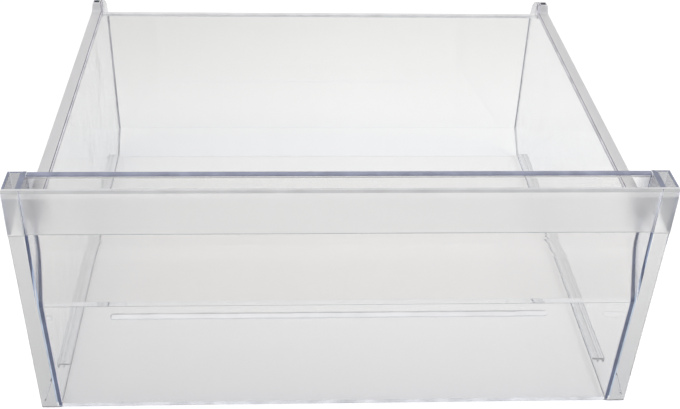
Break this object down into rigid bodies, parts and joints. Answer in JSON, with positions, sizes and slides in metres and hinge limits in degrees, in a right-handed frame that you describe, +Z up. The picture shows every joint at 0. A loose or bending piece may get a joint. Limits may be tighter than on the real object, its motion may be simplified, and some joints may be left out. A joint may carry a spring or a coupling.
{
  "type": "crisper drawer",
  "caption": "Clear plastic fridge drawer with a flat front panel, a frosted band and open grip pocket along its top, a tapered tub and side rails with raised rear stops.",
  "frame": {"origin": "the middle of the ground that the drawer stands on, at the centre of its width and depth", "axes": "+X across the front to the right as seen from the front, +Y from the front to the back, +Z up"},
  "size_m": [0.46, 0.41, 0.2],
  "materials": {
    "clear_plastic": "clear, glossy",
    "frosted_plastic": "frosted"
  },
  "bodies": {
    "root": {"front_panel": "clear_plastic", "front_band": "frosted_plastic", "left_band_end": "frosted_plastic", "right_band_end": "frosted_plastic", "grip_pocket_wall": "clear_plastic", "left_pocket_end": "clear_plastic", "right_pocket_end": "clear_plastic", "left_corner_side": "clear_plastic", "left_corner_back": "clear_plastic", "right_corner_side": "clear_plastic", "right_corner_back": "clear_plastic", "left_side_wall": "clear_plastic", "right_side_wall": "clear_plastic", "back_wall": "clear_plastic", "rear_rim": "clear_plastic", "rear_slope": "clear_plastic", "floor_panel": "clear_plastic", "floor_bead": "clear_plastic", "left_top_rail": "frosted_plastic", "right_top_rail": "frosted_plastic", "left_rear_stop": "frosted_plastic", "right_rear_stop": "frosted_plastic", "left_lower_runner": "clear_plastic", "right_lower_runner": "clear_plastic", "left_wing_rib": "clear_plastic", "right_wing_rib": "clear_plastic"}
  },
  "joints": []
}
